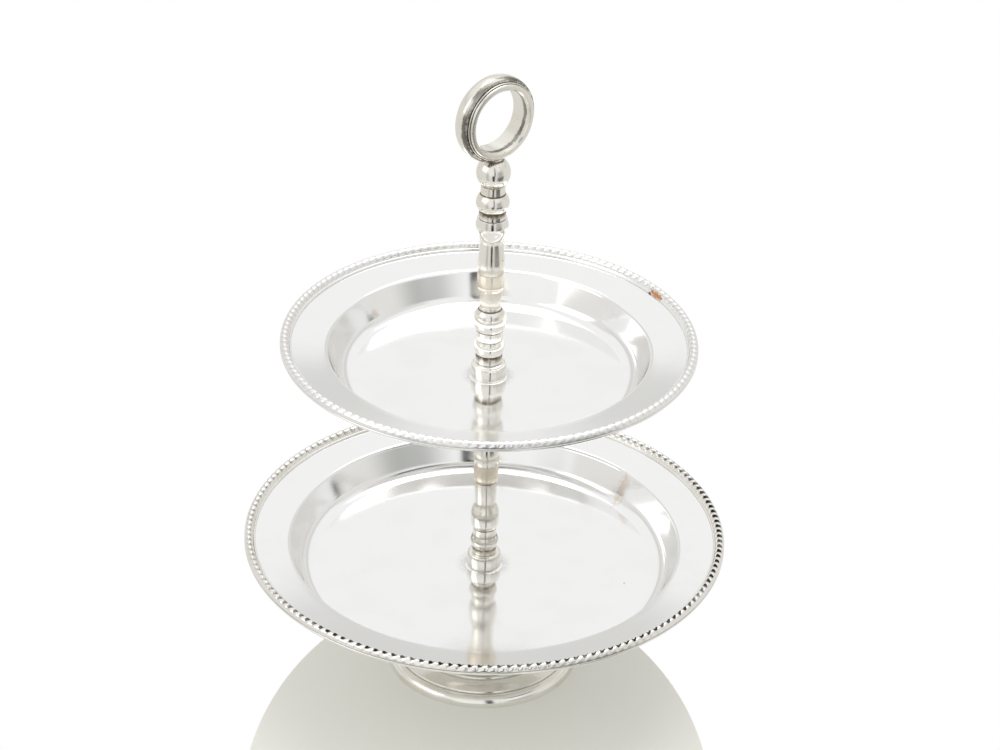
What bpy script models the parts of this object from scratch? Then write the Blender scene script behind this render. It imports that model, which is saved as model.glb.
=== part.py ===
"""Two-tier silver-plated cake stand with a ring handle, in metres, +Z up.

The origin is the centre of the foot's underside. The foot, plates and column pieces are all
turned about the stand's vertical axis and threaded onto one tie rod. A nut under the foot and
a threaded insert in the handle pull the stack together. The ring handle's own axis is along Y.
Sections are written in millimetres as (radius, height) pairs and scaled when they are built.
"""

import math

import bmesh
import bpy

MM = 0.001
GAP = 0.3                        # running gap left between neighbouring pieces

# Driving dimensions, in millimetres
LOWER_PLATE_RADIUS = 140.0
UPPER_PLATE_RADIUS = 117.5
LOWER_FLOOR_HEIGHT = 63.4        # top of the lower plate's floor above the table
TIER_SPACING = 128.2             # from one plate's floor to the next
SHEET = 1.2                      # plate metal
FOOT_SHEET = 1.3                 # foot metal
ROD_RADIUS = 3.0
BORE_RADIUS = ROD_RADIUS + GAP
PLATE_HOLE_RADIUS = 3.4

UPPER_FLOOR_HEIGHT = LOWER_FLOOR_HEIGHT + TIER_SPACING

PAD_RADIUS = 11.0                # low pad at a plate's hub, which the collar stands on
PAD_HEIGHT = 0.2

# Plate section out from the pad, as (distance in from the rim, height above the floor)
WELL = [(40.0, 0.0), (35.0, 1.4), (31.8, 6.0), (30.4, 9.0)]
SHOULDER = [(27.1, 17.0), (26.3, 18.6), (24.7, 19.0)]
SHEET_EDGE = (1.4, 22.2)
BRIM_SLOPE = (SHEET_EDGE[1] - SHOULDER[-1][1]) / (SHOULDER[-1][0] - SHEET_EDGE[0])

# Applied border: a fine bead, then a half-round over a plain lip, whose stations are as above
BORDER_INSET = 6.4
FINE_BEAD_WIDTH = 1.2
FINE_BEAD_HEIGHT = 0.8
FINE_BEAD_FACETS = 2
HALF_ROUND_WIDTH = 5.0
HALF_ROUND_HEIGHT = 2.8
HALF_ROUND_FACETS = 4
BORDER_WEB = 0.5                 # least metal between the border's mouldings and the brim
LIP = [(0.0, 21.1), (0.4, 20.6), (1.1, 20.6)]

# Foot section from its flat top down to the table
FOOT_SEAT = LOWER_FLOOR_HEIGHT - SHEET - GAP
FOOT_SHOULDER = [(23.0, FOOT_SEAT), (24.0, FOOT_SEAT - 1.4), (22.6, FOOT_SEAT - 3.0)]
FOOT_STEM = [(17.0, 54.5), (13.6, 46.0), (16.4, 32.0), (27.0, 18.6), (41.4, 11.6)]
FOOT_TERRACE = [(42.6, 12.2), (43.6, 11.0), (51.0, 7.6)]
FOOT_BAND = [(51.6, 6.4), (54.4, 5.6), (56.2, 3.6), (56.8, 1.2), (56.8, 0.0)]

# Hardware inside the foot
WASHER_RADIUS = 7.0
WASHER_THICKNESS = 1.2
NUT_ACROSS_FLATS = 10.0
NUT_SIDES = 6
NUT_HEIGHT = 5.0
ROD_BELOW_NUT = 3.5

# Handle
HANDLE_BASE = 100.3              # handle's lowest face above the upper floor
SLEEVE_TOP = 119.6
INSERT_RADIUS = 5.2
INSERT_LENGTH = 12.0
BALL_RADIUS = 9.5
BALL_HEIGHT = 127.5
BALL_FACETS = 8
RING_HEIGHT = 159.5
RING_RADIUS = 24.6
RING_BORE = 18.0
RING_HALF_WIDTH = 7.4
RING_CHAMFER = 0.7
# Half of the ring's section from the bore out, as (radius, distance from the ring's mid plane)
RING_FACE = [(18.6, RING_HALF_WIDTH), (20.6, RING_HALF_WIDTH), (21.4, 6.7), (21.7, 5.9)]
RING_BEAD = [(22.2, 5.5), (22.2, 5.1)]
RING_RIDGE = [(23.3, 4.9), (24.2, 3.2), (RING_RADIUS, 1.2)]

# Facets round each kind of piece
WIDE_STEPS = 40
FOOT_STEPS = 32
COLUMN_STEPS = 16
RING_STEPS = 32
SADDLE_STEPS = 64
CURVE_STEPS = 2                  # points made between two stations of a flowing outline

MERGE = 0.00001

SILVER = {"colour": (0.86, 0.85, 0.82), "roughness": 0.12}
WARM_SILVER = {"colour": (0.80, 0.76, 0.68), "roughness": 0.18}
STEEL = {"colour": (0.55, 0.55, 0.55), "roughness": 0.35}

# Column outlines, each from the top down, as runs of (radius, height above the plate floor).
# A run flows smoothly through its stations, and one run meets the next at a crisp edge.
BASE_COLLAR = [
    [(8.4, 9.6), (9.6, 8.4), (10.0, 4.6), (9.8, PAD_HEIGHT + GAP)],
]
LOWER_BALUSTER = [
    [(6.6, 57.9), (6.4, 50.0), (6.1, 44.0), (6.5, 41.6)],
    [(6.5, 41.3), (7.9, 37.8), (8.3, 33.4), (8.1, 29.6), (7.2, 27.0)],
    [(6.9, 26.6), (6.8, 24.0), (7.0, 21.6)],
    [(7.1, 21.3), (8.2, 17.6), (7.2, 13.8)],
    [(7.0, 13.5), (7.0, 9.9)],
]
LOWER_JOINT_RING = [
    [(7.3, 70.0), (7.4, 65.0), (7.1, 60.6), (5.9, 58.2)],
]
LOWER_VASE = [
    [(8.3, 103.9), (9.1, 100.0)],
    [(9.1, 99.4), (8.5, 97.0), (7.3, 93.6), (6.5, 89.4), (6.9, 83.0), (7.5, 76.0), (7.1, 70.3)],
]
PLATE_BEARER = [
    [(11.0, 126.7), (11.0, 124.6), (10.2, 123.6)],
    [(7.0, 122.8), (6.8, 121.0), (6.9, 118.6)],
    [(7.2, 118.2), (9.2, 113.2), (7.5, 109.0)],
    [(7.4, 108.6), (7.4, 104.2)],
]
UPPER_BALUSTER = [
    [(5.9, 55.5), (5.9, 50.0), (5.9, 46.0), (6.3, 43.8)],
    [(6.3, 43.4), (8.4, 41.0), (9.2, 37.2), (9.0, 33.4), (8.0, 30.6)],
    [(7.6, 30.2), (7.5, 27.0), (7.6, 24.2)],
    [(7.8, 23.8), (8.7, 19.8), (7.9, 15.6)],
    [(7.6, 15.2), (7.6, 9.9)],
]
UPPER_JOINT_RING = [
    [(7.4, 66.0), (7.5, 61.0), (7.4, 57.6), (6.6, 55.8)],
]
UPPER_VASE = [
    [(8.3, 100.0), (9.1, 96.2)],
    [(9.1, 95.6), (8.4, 93.0), (7.2, 89.8), (6.5, 85.6), (6.9, 79.6), (7.6, 72.0), (7.2, 66.3)],
]
HANDLE_SLEEVE = [
    [(6.7, 119.6), (6.9, 114.9)],
    [(7.2, 114.5), (9.3, 109.4), (7.5, 105.0)],
    [(7.4, 104.7), (7.5, 100.3)],
]


def clear_scene():
    """Remove whatever the scene holds."""
    for thing in list(bpy.data.objects):
        bpy.data.objects.remove(thing, do_unlink=True)


def make_collection(name):
    """Make a collection in the scene."""
    collection = bpy.data.collections.new(name)
    bpy.context.scene.collection.children.link(collection)
    return collection


def make_material(name, finish):
    """Make a polished metal for one piece."""
    material = bpy.data.materials.new(name)
    material.use_nodes = True
    shader = material.node_tree.nodes["Principled BSDF"]
    shader.inputs["Base Color"].default_value = (*finish["colour"], 1.0)
    shader.inputs["Metallic"].default_value = 1.0
    shader.inputs["Roughness"].default_value = finish["roughness"]
    return material


def smooth_span(before, start, end, after, amount):
    """Return the point at amount (0 to 1) of a Catmull-Rom span between start and end."""
    square = amount * amount
    cube = square * amount
    return tuple(
        0.5 * (2 * b + (c - a) * amount + (2 * a - 5 * b + 4 * c - d) * square
               + (3 * b - a - 3 * c + d) * cube)
        for a, b, c, d in zip(before, start, end, after)
    )


def flow(stations, steps=CURVE_STEPS):
    """Return a smooth run of points through the stations."""
    if len(stations) < 3:
        return list(stations)
    padded = [stations[0], *stations, stations[-1]]
    points = []
    for before, start, end, after in zip(padded, padded[1:], padded[2:], padded[3:]):
        points += [smooth_span(before, start, end, after, step / steps) for step in range(steps)]
    return points + [stations[-1]]


def flowing_outline(runs):
    """Join runs of stations into one outline with a crisp edge between runs."""
    return [point for run in runs for point in flow(run)]


def bored(outline, bore=BORE_RADIUS):
    """Close an outline, which runs from the top down, round a straight bore."""
    return outline + [(bore, outline[-1][1]), (bore, outline[0][1])]


def profile_mesh(name, points, closed):
    """Make a mesh of edges in the XZ plane from (radius, height) points in millimetres."""
    edges = [(index, index + 1) for index in range(len(points) - 1)]
    if closed:
        edges.append((len(points) - 1, 0))
    mesh = bpy.data.meshes.new(name)
    mesh.from_pydata([(radius * MM, 0.0, height * MM) for radius, height in points], edges, [])
    return mesh


def place(thing, collection, finish, height=0.0):
    """Put an object in its collection, on the vertical axis at a height in millimetres."""
    collection.objects.link(thing)
    thing.location = (0.0, 0.0, height * MM)
    if finish:
        thing.data.materials.append(make_material(thing.name, finish))
    return thing


def turn(thing, steps):
    """Sweep an object's profile a full turn about its Z axis."""
    screw = thing.modifiers.new("Turning", "SCREW")
    screw.axis = "Z"
    screw.angle = math.tau
    screw.steps = steps
    screw.render_steps = steps
    screw.use_merge_vertices = True
    screw.merge_threshold = MERGE
    screw.use_smooth_shade = True


def turned_solid(name, points, collection, finish, height=0.0, steps=COLUMN_STEPS, closed=True):
    """Make a turned solid. An outline that is left open starts and ends on the axis."""
    thing = bpy.data.objects.new(name, profile_mesh(name, points, closed))
    place(thing, collection, finish, height)
    turn(thing, steps)
    return thing


def turned_sheet(name, points, thickness, collection, finish, height=0.0, steps=WIDE_STEPS):
    """Make a spun shell whose outer or upper face follows the points."""
    thing = bpy.data.objects.new(name, profile_mesh(name, points, closed=False))
    place(thing, collection, finish, height)
    turn(thing, steps)
    wall = thing.modifiers.new("Sheet", "SOLIDIFY")
    wall.thickness = thickness * MM
    wall.offset = -1.0
    wall.use_even_offset = True
    return thing


def make_cylinder(name, radius, depth, segments):
    """Make a capped cylinder, centred on its origin, along Z."""
    shape = bmesh.new()
    bmesh.ops.create_cone(shape, cap_ends=True, segments=segments, radius1=radius * MM,
                          radius2=radius * MM, depth=depth * MM)
    mesh = bpy.data.meshes.new(name)
    shape.to_mesh(mesh)
    shape.free()
    return bpy.data.objects.new(name, mesh)


def cut(thing, cutter):
    """Take the cutter's shape out of an object."""
    boolean = thing.modifiers.new(cutter.name, "BOOLEAN")
    boolean.operation = "DIFFERENCE"
    boolean.solver = "EXACT"
    boolean.object = cutter
    cutter.hide_render = True
    cutter.display_type = "WIRE"


def foot_outline():
    """Return the foot's outer face, from the rod hole out and down to the table."""
    top = [(PLATE_HOLE_RADIUS, FOOT_SEAT)] + FOOT_SHOULDER
    return top + flow(FOOT_STEM) + FOOT_TERRACE + FOOT_BAND


def make_foot(collection):
    """Spin the hollow foot."""
    turned_sheet("foot_shell", foot_outline(), FOOT_SHEET, collection, SILVER, steps=FOOT_STEPS)


def make_foot_hardware(collection, cutters):
    """Make the washer and nut inside the foot, and the rod that they hold."""
    washer_top = FOOT_SEAT - FOOT_SHEET - GAP
    nut_top = washer_top - WASHER_THICKNESS - GAP
    washer = [(WASHER_RADIUS, 0.0), (WASHER_RADIUS, -WASHER_THICKNESS)]
    turned_solid("foot_washer", bored(washer), collection, STEEL, washer_top)

    corner_radius = NUT_ACROSS_FLATS / 2 / math.cos(math.pi / NUT_SIDES)
    nut_centre = nut_top - NUT_HEIGHT / 2
    nut = make_cylinder("foot_nut", corner_radius, NUT_HEIGHT, NUT_SIDES)
    place(nut, collection, STEEL, nut_centre)
    hole = make_cylinder("nut_hole", BORE_RADIUS, NUT_HEIGHT * 2, COLUMN_STEPS)
    place(hole, cutters, None, nut_centre)
    cut(nut, hole)

    rod_bottom = nut_top - NUT_HEIGHT - ROD_BELOW_NUT
    rod_top = UPPER_FLOOR_HEIGHT + HANDLE_BASE + INSERT_LENGTH
    rod = make_cylinder("tie_rod", ROD_RADIUS, rod_top - rod_bottom, COLUMN_STEPS)
    place(rod, collection, STEEL, (rod_top + rod_bottom) / 2)


def inside_rim(rim, stations):
    """Turn stations that are measured in from the rim into (radius, height) points."""
    return [(rim - inset, height) for inset, height in stations]


def plate_outline(rim):
    """Return the upper face of a plate whose border reaches the given radius."""
    pad = [(PLATE_HOLE_RADIUS, PAD_HEIGHT), (PAD_RADIUS, PAD_HEIGHT), (PAD_RADIUS, 0.0)]
    return pad + flow(inside_rim(rim, WELL)) + inside_rim(rim, SHOULDER + [SHEET_EDGE])


def half_round(centre, width, height, base, segments):
    """Return an arch of points over a moulding, from its inner foot to its outer one."""
    angles = [math.pi * (1.0 - step / segments) for step in range(segments + 1)]
    return [(centre + width / 2 * math.cos(angle), base + height * math.sin(angle)) for angle in angles]


def border_outline(rim):
    """Return the closed section of the applied border, whose underside follows the brim."""
    edge_inset, edge_height = SHEET_EDGE
    seat = edge_height + GAP
    inner = rim - BORDER_INSET
    inner_seat = seat - BRIM_SLOPE * (BORDER_INSET - edge_inset)
    fine_bead = half_round(inner + FINE_BEAD_WIDTH / 2, FINE_BEAD_WIDTH, FINE_BEAD_HEIGHT,
                           inner_seat + BORDER_WEB, FINE_BEAD_FACETS)
    main_bead = half_round(rim - HALF_ROUND_WIDTH / 2, HALF_ROUND_WIDTH, HALF_ROUND_HEIGHT,
                           seat + BORDER_WEB, HALF_ROUND_FACETS)
    lip = inside_rim(rim, LIP)
    return fine_bead + main_bead + lip + [(lip[-1][0], seat), (inner, inner_seat)]


def make_plate(name, rim, floor_height, collection):
    """Make one plate and the border that wraps its edge."""
    turned_sheet(name, plate_outline(rim), SHEET, collection, SILVER, floor_height)
    turned_solid(f"{name}_border", border_outline(rim), collection, SILVER, floor_height, WIDE_STEPS)


def make_column(collection):
    """Make the turned sleeves of both tiers, from the lower plate up to the handle."""
    lower = {
        "lower_base_collar": (BASE_COLLAR, SILVER),
        "lower_baluster": (LOWER_BALUSTER, SILVER),
        "lower_joint_ring": (LOWER_JOINT_RING, WARM_SILVER),
        "lower_vase": (LOWER_VASE, SILVER),
        "plate_bearer": (PLATE_BEARER, SILVER),
    }
    upper = {
        "upper_base_collar": (BASE_COLLAR, SILVER),
        "upper_baluster": (UPPER_BALUSTER, SILVER),
        "upper_joint_ring": (UPPER_JOINT_RING, WARM_SILVER),
        "upper_vase": (UPPER_VASE, SILVER),
    }
    for sleeves, floor_height in ((lower, LOWER_FLOOR_HEIGHT), (upper, UPPER_FLOOR_HEIGHT)):
        for name, (runs, finish) in sleeves.items():
            turned_solid(name, bored(flowing_outline(runs)), collection, finish, floor_height)


def ring_outline():
    """Return the closed section of the handle ring, as (radius, distance from its mid plane)."""
    half = RING_FACE + RING_BEAD + RING_RIDGE
    mirrored = [(radius, -distance) for radius, distance in reversed(half)]
    bore_end = RING_HALF_WIDTH - RING_CHAMFER
    return half + mirrored + [(RING_BORE, -bore_end), (RING_BORE, bore_end)]


def make_handle(collection, cutters):
    """Make the handle: a threaded insert in a sleeve, a ball on it and a ring on the ball."""
    pivot = bpy.data.objects.new("handle_pivot", None)
    collection.objects.link(pivot)
    pivot.location = (0.0, 0.0, UPPER_FLOOR_HEIGHT * MM)

    cavity_radius = INSERT_RADIUS + GAP
    cavity_top = HANDLE_BASE + GAP + INSERT_LENGTH + GAP
    sleeve_outline = ([(0.0, SLEEVE_TOP)] + flowing_outline(HANDLE_SLEEVE)
                      + [(cavity_radius, HANDLE_BASE), (cavity_radius, cavity_top), (0.0, cavity_top)])
    sleeve = turned_solid("handle_sleeve", sleeve_outline, collection, SILVER, closed=False)

    ball_flat = SLEEVE_TOP + GAP - BALL_HEIGHT
    lowest_angle = math.asin(ball_flat / BALL_RADIUS)
    sweep = lowest_angle - math.pi / 2
    angles = [math.pi / 2 + sweep * step / BALL_FACETS for step in range(1, BALL_FACETS + 1)]
    arc = [(BALL_RADIUS * math.cos(angle), BALL_RADIUS * math.sin(angle)) for angle in angles]
    ball_outline = [(0.0, BALL_RADIUS)] + arc + [(0.0, ball_flat)]
    ball = turned_solid("handle_ball", ball_outline, collection, SILVER, BALL_HEIGHT, closed=False)
    saddle = make_cylinder("ball_saddle", RING_RADIUS + GAP, RING_RADIUS, SADDLE_STEPS)
    place(saddle, cutters, None, UPPER_FLOOR_HEIGHT + RING_HEIGHT)
    saddle.rotation_euler.x = math.pi / 2
    cut(ball, saddle)

    ring = turned_solid("handle_ring", ring_outline(), collection, SILVER, RING_HEIGHT, RING_STEPS)
    ring.rotation_euler.x = math.pi / 2
    for thing in (sleeve, ball, ring):
        thing.parent = pivot

    insert = [(INSERT_RADIUS, INSERT_LENGTH), (INSERT_RADIUS, 0.0)]
    turned_solid("handle_insert", bored(insert), collection, STEEL,
                 UPPER_FLOOR_HEIGHT + HANDLE_BASE + GAP)


def main():
    """Build the stand from the table up."""
    clear_scene()
    stand = make_collection("cake_stand")
    cutters = make_collection("cutters")
    make_foot(stand)
    make_foot_hardware(stand, cutters)
    make_plate("lower_plate", LOWER_PLATE_RADIUS, LOWER_FLOOR_HEIGHT, stand)
    make_plate("upper_plate", UPPER_PLATE_RADIUS, UPPER_FLOOR_HEIGHT, stand)
    make_column(stand)
    make_handle(stand, cutters)


main()
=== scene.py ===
"""Finished surfaces, light and camera for a two-tier silver-plated cake stand.

Every visible piece is turned again, finely, from the stand's own sections, on the heights that
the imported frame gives. Three Geometry Nodes trees do the bench work: one turns a section about the
stand's axis, one carves the slanted flutes of the plate borders, and one winds the screw threads.
Sections are (radius, height) pairs in millimetres, and meshes are in metres.
"""

import sys
import logging
import math
from dataclasses import dataclass, field
from enum import Enum

import bpy
import numpy as np
from mathutils import Matrix, Vector


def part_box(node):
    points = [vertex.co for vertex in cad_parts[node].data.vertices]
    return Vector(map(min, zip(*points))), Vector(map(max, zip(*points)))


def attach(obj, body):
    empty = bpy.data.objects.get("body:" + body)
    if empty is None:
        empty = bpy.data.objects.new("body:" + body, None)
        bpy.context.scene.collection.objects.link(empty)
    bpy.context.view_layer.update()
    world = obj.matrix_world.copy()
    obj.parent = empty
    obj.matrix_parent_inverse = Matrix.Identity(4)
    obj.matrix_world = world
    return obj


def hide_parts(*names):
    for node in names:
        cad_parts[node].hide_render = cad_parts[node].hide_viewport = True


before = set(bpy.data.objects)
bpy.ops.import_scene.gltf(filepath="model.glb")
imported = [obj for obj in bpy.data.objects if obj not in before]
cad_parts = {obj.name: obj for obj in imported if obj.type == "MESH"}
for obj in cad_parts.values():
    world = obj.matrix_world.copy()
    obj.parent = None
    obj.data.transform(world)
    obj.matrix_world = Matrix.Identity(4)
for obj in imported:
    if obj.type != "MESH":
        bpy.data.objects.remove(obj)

Point = tuple[float, float]
Outline = list[Point]
Colour = tuple[float, float, float]
Socket = bpy.types.NodeSocket
Tree = bpy.types.NodeTree
Thing = bpy.types.Object

LOG = logging.getLogger("cake_stand")
MM = 0.001
MERGE_DISTANCE = 0.000002
WIDE_STEPS = 256
COLUMN_STEPS = 112
SLANT = 3.6  # radians of flute that the half-round leans over its width
DOT_SIZE = (2.05, 0.29)  # half length along the flutes' phase, half width across
DOT_PLACE = 0.45  # how far across the half-round the dots lie
DARKEST_TURN = -95.0  # degrees round the axis where the dots, with their painted reflection, are darkest
SPAN_STEPS = 8  # points made between two stations of a flowing outline
EDGE_STEPS = 180  # round the table top
SHORTEST = 1e-6  # millimetres below which a side counts as nothing
FLATTEST = 172.0  # degrees above which a corner isn't rounded
SIDE_SHARE = 0.42  # how much of a side a rounded corner may take
HOLD = 1.12  # how far past the arc the flat beside it is held
GROOVE_REACH = 0.9  # millimetres on each side that a groove is judged over
GROOVE_DEPTH = 0.18  # millimetres deep that count as a full groove
RIDGE_SHARE = 0.34  # radius of a thread's ridge in pitches
SIGNS = {"+": "ADD", "-": "SUBTRACT", "*": "MULTIPLY", "/": "DIVIDE", "^": "POWER"}
CREST_POWER, PIT_POWER, SHADE_POWER = 0.75, 1.6, 1.3  # how round crests, pits and shading are
FLUTE_START, FLUTE_END = (0.0, 0.10), (1.0, 0.86)  # across the half-round
PIT_START, PIT_END = (0.06, 0.22), (0.56, 0.38)
PIT_DEPTH = 0.00001  # metres
MARK_DRIFT = 0.002  # metres that the polishing marks wander over a turn
NOISES = ((45.0, 5.0), (520.0, 4.0), (26.0, 1.0), (1500.0, 1.0), (170.0, 2.0))  # scale and detail


# --- Outlines ---

def smooth_span(before: Point, start: Point, end: Point, after: Point, amount: float) -> Point:
    """Place a point on a Catmull-Rom span.

    Args:
        before, start, end, after: the four stations that shape the span.
        amount: how far along the span from start to end, 0 to 1.

    Returns:
        The point.
    """
    square = amount * amount
    cube = square * amount
    return tuple(
        0.5 * (2 * b + (c - a) * amount + (2 * a - 5 * b + 4 * c - d) * square
               + (3 * b - a - 3 * c + d) * cube)
        for a, b, c, d in zip(before, start, end, after)
    )


def flow(stations: Outline | tuple[Point, ...], steps: int = SPAN_STEPS) -> Outline:
    """Run a smooth curve through stations.

    Args:
        stations: the points to pass through.
        steps: how many points each span gets.

    Returns:
        The curve's points, from the first station to the last.
    """
    if len(stations) < 3:
        return list(stations)
    padded = [stations[0], *stations, stations[-1]]
    points = []
    for before, start, end, after in zip(padded, padded[1:], padded[2:], padded[3:]):
        points += [smooth_span(before, start, end, after, step / steps) for step in range(steps)]
    return points + [stations[-1]]


def arc(middle: Point, radii: Point, first: float, sweep: float, segments: int) -> Outline:
    """Draw part of an ellipse round its middle, from a first angle on through a sweep."""
    turns = [first + sweep * step / segments for step in range(segments + 1)]
    return [(middle[0] + radii[0] * math.cos(turn), middle[1] + radii[1] * math.sin(turn)) for turn in turns]


def fillet(before: Point, corner: Point, after: Point, radius: float, segments: int) -> Outline:
    """Round one corner of an outline and hold the flats beside it flat.

    Args:
        before, corner, after: the corner and its two neighbours.
        radius: the wanted radius, reduced where the sides are too short for it.
        segments: how many straight pieces the arc has.

    Returns:
        The points that take the corner's place.
    """
    here = Vector(corner)
    back, ahead = Vector(before) - here, Vector(after) - here
    if back.length < SHORTEST or ahead.length < SHORTEST:
        return [corner]
    angle = back.angle(ahead)
    if angle > math.radians(FLATTEST):
        return [corner]
    reach = min(radius / math.tan(angle / 2), SIDE_SHARE * back.length, SIDE_SHARE * ahead.length)
    first = here + back.normalized() * reach
    last = here + ahead.normalized() * reach
    points = [tuple(here + back.normalized() * reach * HOLD)]
    for step in range(segments + 1):
        amount = step / segments
        points.append(tuple(first.lerp(here, amount).lerp(here.lerp(last, amount), amount)))
    points.append(tuple(here + ahead.normalized() * reach * HOLD))
    return points


def bend(corner: Point, before: Point, after: Point, radius: float, segments: int) -> Outline:
    """Bend the sheet round a corner in a true arc.

    Args:
        corner: where the two straight faces would meet.
        before, after: a point on each face.
        radius: the bend's radius.
        segments: how many straight pieces it gets.

    Returns:
        The arc's points.
    """
    here = Vector(corner)
    back = (Vector(before) - here).normalized()
    ahead = (Vector(after) - here).normalized()
    half = back.angle(ahead) / 2
    middle = here + (back + ahead).normalized() * radius / math.sin(half)
    start = here + back * radius / math.tan(half) - middle
    finish = here + ahead * radius / math.tan(half) - middle
    sweep = math.atan2(start.x * finish.y - start.y * finish.x, start.dot(finish))
    first = math.atan2(start.y, start.x)
    return arc(middle, (radius, radius), first, sweep, segments)


def soften(outline: Outline, radius: float, closed: bool, sharpest: float = 152.0) -> Outline:
    """Round every hard corner of an outline.

    Args:
        outline: the points.
        radius: the radius of the worn edge.
        closed: whether the outline joins its own start.
        sharpest: a corner whose inner angle, in degrees, is wider than this stays as it is.

    Returns:
        The outline with its corners rounded.
    """
    count = len(outline)
    points: Outline = []
    for index, corner in enumerate(outline):
        if not closed and index in (0, count - 1):
            points.append(corner)
            continue
        before, after = outline[index - 1], outline[(index + 1) % count]
        back, ahead = Vector(before) - Vector(corner), Vector(after) - Vector(corner)
        flat = back.length < SHORTEST or ahead.length < SHORTEST
        if flat or back.angle(ahead) > math.radians(sharpest):
            points.append(corner)
        else:
            points += fillet(before, corner, after, radius, 4)
    return points


def shifted(stations: tuple[Point, ...], radius: float, height: float) -> Outline:
    """Give stations that are counted from a given radius and height their true place."""
    return [(radius + out, height + up) for out, up in stations]


def thicken(face: Outline, thickness: float) -> Outline:
    """Give a sheet its back face.

    Args:
        face: the outer or upper face, run so that the metal lies on its right-hand side.
        thickness: the sheet's thickness.

    Returns:
        A closed outline: the face, then its back in reverse.
    """
    points = np.array(face)
    along = np.gradient(points, axis=0)
    along /= np.linalg.norm(along, axis=1)[:, None]
    inward = np.column_stack([along[:, 1], -along[:, 0]])
    back = points + inward * thickness
    return face + [tuple(point) for point in back[::-1]]


def bored(outline: Outline, bore: float) -> Outline:
    """Close an outline, which runs from the top down, round a straight bore."""
    return outline + [(bore, outline[-1][1]), (bore, outline[0][1])]


def hollows(outline: Outline, closed: bool) -> list[float]:
    """Measure how far each point of an outline lies in a groove.

    Args:
        outline: the points, run so that the metal lies on their right-hand side.
        closed: whether the outline joins its own start.

    Returns:
        One value a point, from 0 on a flat or a crest to 1 deep in a groove.
    """
    points = np.array(outline)
    steps = np.linalg.norm(np.diff(points, axis=0), axis=1)
    along = np.concatenate([[0.0], np.cumsum(steps)])
    total = along[-1]
    dense = np.linspace(0.0, total, max(int(total / 0.1), 8))
    curve = np.column_stack([np.interp(dense, along, points[:, axis]) for axis in (0, 1)])
    shift = max(int(GROOVE_REACH / (dense[1] - dense[0])), 1)
    mode = "wrap" if closed else "edge"
    padded = np.pad(curve, ((shift, shift), (0, 0)), mode=mode)
    middle = (padded[2 * shift:] + padded[:-2 * shift]) / 2
    chord = padded[2 * shift:] - padded[:-2 * shift]
    outward = np.column_stack([-chord[:, 1], chord[:, 0]])
    outward /= np.linalg.norm(outward, axis=1)[:, None] + 1e-9
    depth = ((middle - curve) * outward).sum(axis=1)
    values = np.clip(depth / GROOVE_DEPTH, 0.0, 1.0)
    return [float(value) for value in np.interp(along, dense, values)]


# --- Node graphs ---

@dataclass
class Graph:
    """A node tree with short ways to add to it."""

    tree: Tree

    def add(self, kind: str, inputs: dict | None = None, **settings: object) -> bpy.types.Node:
        """Add a node.

        Args:
            kind: the node's type name.
            inputs: socket name or number to a value, or to the output that feeds it.
            **settings: properties of the node, set before its inputs.

        Returns:
            The node.
        """
        node = self.tree.nodes.new(kind)
        for name, value in settings.items():
            setattr(node, name, value)
        for key, value in (inputs or {}).items():
            if isinstance(value, Socket):
                self.tree.links.new(value, node.inputs[key])
            else:
                node.inputs[key].default_value = value
        return node

    def calc(self, sign: str, *values: object) -> Socket:
        """Do one piece of arithmetic, by its sign or name, on numbers or outputs."""
        return self.add("ShaderNodeMath", dict(enumerate(values)), operation=SIGNS.get(sign, sign)).outputs[0]

    def step(self, value: object, low: float, high: float, start: float = 0.0, end: float = 1.0) -> Socket:
        """Ease a value from start to end as it goes from low to high, and hold it beyond them."""
        return self.add("ShaderNodeMapRange", {0: value, 1: low, 2: high, 3: start, 4: end},
                        interpolation_type="SMOOTHSTEP").outputs[0]

    def mix(self, amount: object, first: object, second: object) -> Socket:
        """Blend two colours by an amount from 0 to 1."""
        return self.add("ShaderNodeMix", {0: amount, 6: first, 7: second}, data_type="RGBA").outputs[2]

    def read(self, name: str) -> Socket:
        """Read a number that is stored on a mesh's points."""
        node = self.add("GeometryNodeInputNamedAttribute", {"Name": name}, data_type="FLOAT")
        return node.outputs["Attribute"]

    def store(self, mesh: Socket, name: str, value: Socket) -> Socket:
        """Store a number on a mesh's points and give the mesh."""
        return self.add("GeometryNodeStoreNamedAttribute", {"Geometry": mesh, "Name": name, "Value": value},
                        data_type="FLOAT", domain="POINT").outputs[0]

    def feed(self, source: Socket, target: Socket) -> None:
        """Feed one socket from another."""
        self.tree.links.new(source, target)


def geometry_tree(name: str, inputs: dict[str, str]) -> tuple[Graph, dict[str, Socket]]:
    """Start a Geometry Nodes tree.

    Args:
        name: the tree's name.
        inputs: input name to its kind, after the geometry itself.

    Returns:
        The graph, and its inputs by name.
    """
    tree = bpy.data.node_groups.new(name, "GeometryNodeTree")
    tree.interface.new_socket("Geometry", in_out="INPUT", socket_type="NodeSocketGeometry")
    for label, kind in inputs.items():
        tree.interface.new_socket(label, in_out="INPUT", socket_type=f"NodeSocket{kind}")
    tree.interface.new_socket("Geometry", in_out="OUTPUT", socket_type="NodeSocketGeometry")
    graph = Graph(tree)
    start = graph.add("NodeGroupInput")
    return graph, {socket.name: socket for socket in start.outputs if socket.name}


def close_tree(graph: Graph, mesh: Socket, material: Socket) -> None:
    """End a tree in smooth, real, finished faces.

    Args:
        graph: the tree.
        mesh: the geometry so far.
        material: the input that holds the finish.
    """
    smooth = graph.add("GeometryNodeSetShadeSmooth", {"Geometry": mesh})
    real = graph.add("GeometryNodeRealizeInstances", {"Geometry": smooth.outputs[0]})
    dressed = graph.add("GeometryNodeSetMaterial", {"Geometry": real.outputs[0], "Material": material})
    graph.add("NodeGroupOutput", {"Geometry": dressed.outputs[0]})


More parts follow.
